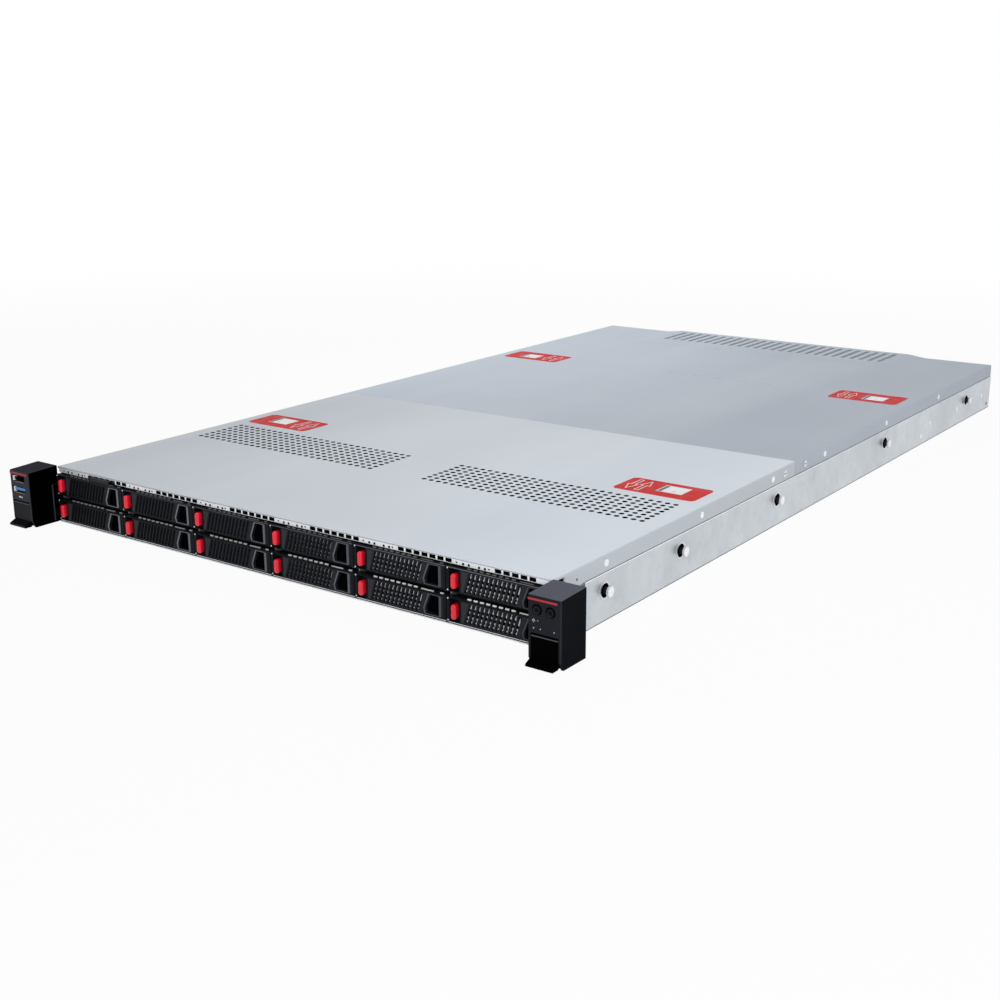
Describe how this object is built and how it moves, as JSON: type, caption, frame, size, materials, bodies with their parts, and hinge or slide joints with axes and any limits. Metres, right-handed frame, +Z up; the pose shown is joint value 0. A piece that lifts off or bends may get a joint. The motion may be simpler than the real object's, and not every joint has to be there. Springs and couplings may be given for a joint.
{
  "type": "1u rack server",
  "caption": "Rack server one unit high, with two rows of drive carriers, rack ears, sliding top covers and slide-in power supplies.",
  "frame": {"origin": "chassis underside, on the centre line, in the plane where the rack ears meet the rack posts", "axes": "+X to the right as seen from the front, +Y from the front to the rear, +Z up"},
  "size_m": [0.4826, 0.8264, 0.0442],
  "materials": {
    "galvanised_sheet": "zinc coated sheet with a soft spangle",
    "front_cover_sheet": "smooth bright sheet, satin",
    "rear_cover_sheet": "smooth grey sheet, satin",
    "latch_plate": "pressed bright plate",
    "strip_sheet": "light grey, satin",
    "tab_plastic": "grey, fine grain",
    "ear_moulding": "blue grey, fine grain",
    "lever_plastic": "dark grey, fine grain",
    "carrier_frame": "dark coated frame on a bare sled",
    "handle_plastic": "charcoal, fine grain",
    "release_red": "deep red, satin",
    "key_plastic": "near black, satin",
    "board_laminate": "green circuit board",
    "fan_plastic": "black, satin",
    "cooler_metal": "bare, fine brushed",
    "stud_steel": "turned steel",
    "connector_shell": "plated shells, satin",
    "supply_case": "plated case, satin"
  },
  "bodies": {
    "chassis": {"chassis_tray": "galvanised_sheet", "rear_panel": "connector_shell", "drive_cage": "galvanised_sheet", "bay_strip": "strip_sheet", "left_ear": "ear_moulding", "right_ear": "ear_moulding", "drive_backplane": "board_laminate", "rail_studs": "stud_steel", "fan_row": "fan_plastic", "main_board": "board_laminate", "processor_coolers": "cooler_metal"},
    "front_cover": {"front_cover": "front_cover_sheet"},
    "rear_cover": {"rear_cover": "rear_cover_sheet"},
    "front_latch_left": {"front_latch_left": "latch_plate"},
    "front_latch_right": {"front_latch_right": "latch_plate"},
    "rear_latch_left": {"rear_latch_left": "latch_plate"},
    "rear_latch_right": {"rear_latch_right": "latch_plate"},
    "left_ear_lever": {"left_ear_lever": "lever_plastic"},
    "right_ear_lever": {"right_ear_lever": "lever_plastic"},
    "information_tab": {"information_tab": "tab_plastic"},
    "power_button": {"power_button": "key_plastic"},
    "locate_button": {"locate_button": "key_plastic"},
    "power_supply_1": {"power_supply_1": "supply_case"},
    "power_supply_2": {"power_supply_2": "supply_case"},
    "carrier_lower_1": {"carrier_lower_1": "carrier_frame"},
    "handle_lower_1": {"handle_lower_1": "handle_plastic"},
    "release_button_lower_1": {"release_button_lower_1": "release_red"},
    "carrier_lower_2": {"carrier_lower_2": "carrier_frame"},
    "handle_lower_2": {"handle_lower_2": "handle_plastic"},
    "release_button_lower_2": {"release_button_lower_2": "release_red"},
    "carrier_lower_3": {"carrier_lower_3": "carrier_frame"},
    "handle_lower_3": {"handle_lower_3": "handle_plastic"},
    "release_button_lower_3": {"release_button_lower_3": "release_red"},
    "carrier_lower_4": {"carrier_lower_4": "carrier_frame"},
    "handle_lower_4": {"handle_lower_4": "handle_plastic"},
    "release_button_lower_4": {"release_button_lower_4": "release_red"},
    "carrier_lower_5": {"carrier_lower_5": "carrier_frame"},
    "handle_lower_5": {"handle_lower_5": "handle_plastic"},
    "release_button_lower_5": {"release_button_lower_5": "release_red"},
    "carrier_lower_6": {"carrier_lower_6": "carrier_frame"},
    "handle_lower_6": {"handle_lower_6": "handle_plastic"},
    "release_button_lower_6": {"release_button_lower_6": "release_red"},
    "carrier_upper_1": {"carrier_upper_1": "carrier_frame"},
    "handle_upper_1": {"handle_upper_1": "handle_plastic"},
    "release_button_upper_1": {"release_button_upper_1": "release_red"},
    "carrier_upper_2": {"carrier_upper_2": "carrier_frame"},
    "handle_upper_2": {"handle_upper_2": "handle_plastic"},
    "release_button_upper_2": {"release_button_upper_2": "release_red"},
    "carrier_upper_3": {"carrier_upper_3": "carrier_frame"},
    "handle_upper_3": {"handle_upper_3": "handle_plastic"},
    "release_button_upper_3": {"release_button_upper_3": "release_red"},
    "carrier_upper_4": {"carrier_upper_4": "carrier_frame"},
    "handle_upper_4": {"handle_upper_4": "handle_plastic"},
    "release_button_upper_4": {"release_button_upper_4": "release_red"},
    "carrier_upper_5": {"carrier_upper_5": "carrier_frame"},
    "handle_upper_5": {"handle_upper_5": "handle_plastic"},
    "release_button_upper_5": {"release_button_upper_5": "release_red"},
    "carrier_upper_6": {"carrier_upper_6": "carrier_frame"},
    "handle_upper_6": {"handle_upper_6": "handle_plastic"},
    "release_button_upper_6": {"release_button_upper_6": "release_red"}
  },
  "joints": [
    {"name": "front_cover_slide", "type": "slide", "parent": "chassis", "child": "front_cover", "axis": [0, -1, 0], "range_m": [0, 0.01]},
    {"name": "rear_cover_slide", "type": "slide", "parent": "chassis", "child": "rear_cover", "axis": [0, 1, 0], "range_m": [0, 0.012]},
    {"name": "front_latch_left_press", "type": "slide", "parent": "front_cover", "child": "front_latch_left", "axis": [0, 0, -1], "range_m": [0, 0.002], "stiffness_N_per_m": 300, "springref_m": -0.0005},
    {"name": "front_latch_right_press", "type": "slide", "parent": "front_cover", "child": "front_latch_right", "axis": [0, 0, -1], "range_m": [0, 0.002], "stiffness_N_per_m": 300, "springref_m": -0.0005},
    {"name": "rear_latch_left_press", "type": "slide", "parent": "rear_cover", "child": "rear_latch_left", "axis": [0, 0, -1], "range_m": [0, 0.002], "stiffness_N_per_m": 300, "springref_m": -0.0005},
    {"name": "rear_latch_right_press", "type": "slide", "parent": "rear_cover", "child": "rear_latch_right", "axis": [0, 0, -1], "range_m": [0, 0.002], "stiffness_N_per_m": 300, "springref_m": -0.0005},
    {"name": "left_ear_lever_hinge", "type": "hinge", "parent": "chassis", "child": "left_ear_lever", "pos_m": [0, -0.023, 0.0174], "axis": [-1, 0, 0], "range_deg": [0, 60]},
    {"name": "right_ear_lever_hinge", "type": "hinge", "parent": "chassis", "child": "right_ear_lever", "pos_m": [0, -0.023, 0.0174], "axis": [-1, 0, 0], "range_deg": [0, 60]},
    {"name": "carrier_lower_1_slide", "type": "slide", "parent": "chassis", "child": "carrier_lower_1", "axis": [0, -1, 0], "range_m": [0, 0.12]},
    {"name": "handle_lower_1_hinge", "type": "hinge", "parent": "carrier_lower_1", "child": "handle_lower_1", "pos_m": [-0.14835, -0.002, 0.0101], "axis": [0, 0, 1], "range_deg": [0, 60]},
    {"name": "release_button_lower_1_press", "type": "slide", "parent": "carrier_lower_1", "child": "release_button_lower_1", "axis": [0, 1, 0], "range_m": [0, 0.0015], "stiffness_N_per_m": 300},
    {"name": "carrier_lower_2_slide", "type": "slide", "parent": "chassis", "child": "carrier_lower_2", "axis": [0, -1, 0], "range_m": [0, 0.12]},
    {"name": "handle_lower_2_hinge", "type": "hinge", "parent": "carrier_lower_2", "child": "handle_lower_2", "pos_m": [-0.0759, -0.002, 0.0101], "axis": [0, 0, 1], "range_deg": [0, 60]},
    {"name": "release_button_lower_2_press", "type": "slide", "parent": "carrier_lower_2", "child": "release_button_lower_2", "axis": [0, 1, 0], "range_m": [0, 0.0015], "stiffness_N_per_m": 300},
    {"name": "carrier_lower_3_slide", "type": "slide", "parent": "chassis", "child": "carrier_lower_3", "axis": [0, -1, 0], "range_m": [0, 0.12]},
    {"name": "handle_lower_3_hinge", "type": "hinge", "parent": "carrier_lower_3", "child": "handle_lower_3", "pos_m": [-0.00345, -0.002, 0.0101], "axis": [0, 0, 1], "range_deg": [0, 60]},
    {"name": "release_button_lower_3_press", "type": "slide", "parent": "carrier_lower_3", "child": "release_button_lower_3", "axis": [0, 1, 0], "range_m": [0, 0.0015], "stiffness_N_per_m": 300},
    {"name": "carrier_lower_4_slide", "type": "slide", "parent": "chassis", "child": "carrier_lower_4", "axis": [0, -1, 0], "range_m": [0, 0.12]},
    {"name": "handle_lower_4_hinge", "type": "hinge", "parent": "carrier_lower_4", "child": "handle_lower_4", "pos_m": [0.069, -0.002, 0.0101], "axis": [0, 0, 1], "range_deg": [0, 60]},
    {"name": "release_button_lower_4_press", "type": "slide", "parent": "carrier_lower_4", "child": "release_button_lower_4", "axis": [0, 1, 0], "range_m": [0, 0.0015], "stiffness_N_per_m": 300},
    {"name": "carrier_lower_5_slide", "type": "slide", "parent": "chassis", "child": "carrier_lower_5", "axis": [0, -1, 0], "range_m": [0, 0.12]},
    {"name": "handle_lower_5_hinge", "type": "hinge", "parent": "carrier_lower_5", "child": "handle_lower_5", "pos_m": [0.14145, -0.002, 0.0101], "axis": [0, 0, 1], "range_deg": [0, 60]},
    {"name": "release_button_lower_5_press", "type": "slide", "parent": "carrier_lower_5", "child": "release_button_lower_5", "axis": [0, 1, 0], "range_m": [0, 0.0015], "stiffness_N_per_m": 300},
    {"name": "carrier_lower_6_slide", "type": "slide", "parent": "chassis", "child": "carrier_lower_6", "axis": [0, -1, 0], "range_m": [0, 0.12]},
    {"name": "handle_lower_6_hinge", "type": "hinge", "parent": "carrier_lower_6", "child": "handle_lower_6", "pos_m": [0.2139, -0.002, 0.0101], "axis": [0, 0, 1], "range_deg": [0, 60]},
    {"name": "release_button_lower_6_press", "type": "slide", "parent": "carrier_lower_6", "child": "release_button_lower_6", "axis": [0, 1, 0], "range_m": [0, 0.0015], "stiffness_N_per_m": 300},
    {"name": "carrier_upper_1_slide", "type": "slide", "parent": "chassis", "child": "carrier_upper_1", "axis": [0, -1, 0], "range_m": [0, 0.12]},
    {"name": "handle_upper_1_hinge", "type": "hinge", "parent": "carrier_upper_1", "child": "handle_upper_1", "pos_m": [-0.14835, -0.002, 0.0291], "axis": [0, 0, 1], "range_deg": [0, 60]},
    {"name": "release_button_upper_1_press", "type": "slide", "parent": "carrier_upper_1", "child": "release_button_upper_1", "axis": [0, 1, 0], "range_m": [0, 0.0015], "stiffness_N_per_m": 300},
    {"name": "carrier_upper_2_slide", "type": "slide", "parent": "chassis", "child": "carrier_upper_2", "axis": [0, -1, 0], "range_m": [0, 0.12]},
    {"name": "handle_upper_2_hinge", "type": "hinge", "parent": "carrier_upper_2", "child": "handle_upper_2", "pos_m": [-0.0759, -0.002, 0.0291], "axis": [0, 0, 1], "range_deg": [0, 60]},
    {"name": "release_button_upper_2_press", "type": "slide", "parent": "carrier_upper_2", "child": "release_button_upper_2", "axis": [0, 1, 0], "range_m": [0, 0.0015], "stiffness_N_per_m": 300},
    {"name": "carrier_upper_3_slide", "type": "slide", "parent": "chassis", "child": "carrier_upper_3", "axis": [0, -1, 0], "range_m": [0, 0.12]},
    {"name": "handle_upper_3_hinge", "type": "hinge", "parent": "carrier_upper_3", "child": "handle_upper_3", "pos_m": [-0.00345, -0.002, 0.0291], "axis": [0, 0, 1], "range_deg": [0, 60]},
    {"name": "release_button_upper_3_press", "type": "slide", "parent": "carrier_upper_3", "child": "release_button_upper_3", "axis": [0, 1, 0], "range_m": [0, 0.0015], "stiffness_N_per_m": 300},
    {"name": "carrier_upper_4_slide", "type": "slide", "parent": "chassis", "child": "carrier_upper_4", "axis": [0, -1, 0], "range_m": [0, 0.12]},
    {"name": "handle_upper_4_hinge", "type": "hinge", "parent": "carrier_upper_4", "child": "handle_upper_4", "pos_m": [0.069, -0.002, 0.0291], "axis": [0, 0, 1], "range_deg": [0, 60]},
    {"name": "release_button_upper_4_press", "type": "slide", "parent": "carrier_upper_4", "child": "release_button_upper_4", "axis": [0, 1, 0], "range_m": [0, 0.0015], "stiffness_N_per_m": 300},
    {"name": "carrier_upper_5_slide", "type": "slide", "parent": "chassis", "child": "carrier_upper_5", "axis": [0, -1, 0], "range_m": [0, 0.12]},
    {"name": "handle_upper_5_hinge", "type": "hinge", "parent": "carrier_upper_5", "child": "handle_upper_5", "pos_m": [0.14145, -0.002, 0.0291], "axis": [0, 0, 1], "range_deg": [0, 60]},
    {"name": "release_button_upper_5_press", "type": "slide", "parent": "carrier_upper_5", "child": "release_button_upper_5", "axis": [0, 1, 0], "range_m": [0, 0.0015], "stiffness_N_per_m": 300},
    {"name": "carrier_upper_6_slide", "type": "slide", "parent": "chassis", "child": "carrier_upper_6", "axis": [0, -1, 0], "range_m": [0, 0.12]},
    {"name": "handle_upper_6_hinge", "type": "hinge", "parent": "carrier_upper_6", "child": "handle_upper_6", "pos_m": [0.2139, -0.002, 0.0291], "axis": [0, 0, 1], "range_deg": [0, 60]},
    {"name": "release_button_upper_6_press", "type": "slide", "parent": "carrier_upper_6", "child": "release_button_upper_6", "axis": [0, 1, 0], "range_m": [0, 0.0015], "stiffness_N_per_m": 300},
    {"name": "information_tab_slide", "type": "slide", "parent": "chassis", "child": "information_tab", "axis": [0, -1, 0], "range_m": [0, 0.03]},
    {"name": "power_button_press", "type": "slide", "parent": "chassis", "child": "power_button", "axis": [0, 1, 0], "range_m": [0, 0.0012], "stiffness_N_per_m": 300},
    {"name": "locate_button_press", "type": "slide", "parent": "chassis", "child": "locate_button", "axis": [0, 1, 0], "range_m": [0, 0.0012], "stiffness_N_per_m": 300},
    {"name": "power_supply_1_slide", "type": "slide", "parent": "chassis", "child": "power_supply_1", "axis": [0, 1, 0], "range_m": [0, 0.15]},
    {"name": "power_supply_2_slide", "type": "slide", "parent": "chassis", "child": "power_supply_2", "axis": [0, 1, 0], "range_m": [0, 0.15]}
  ]
}
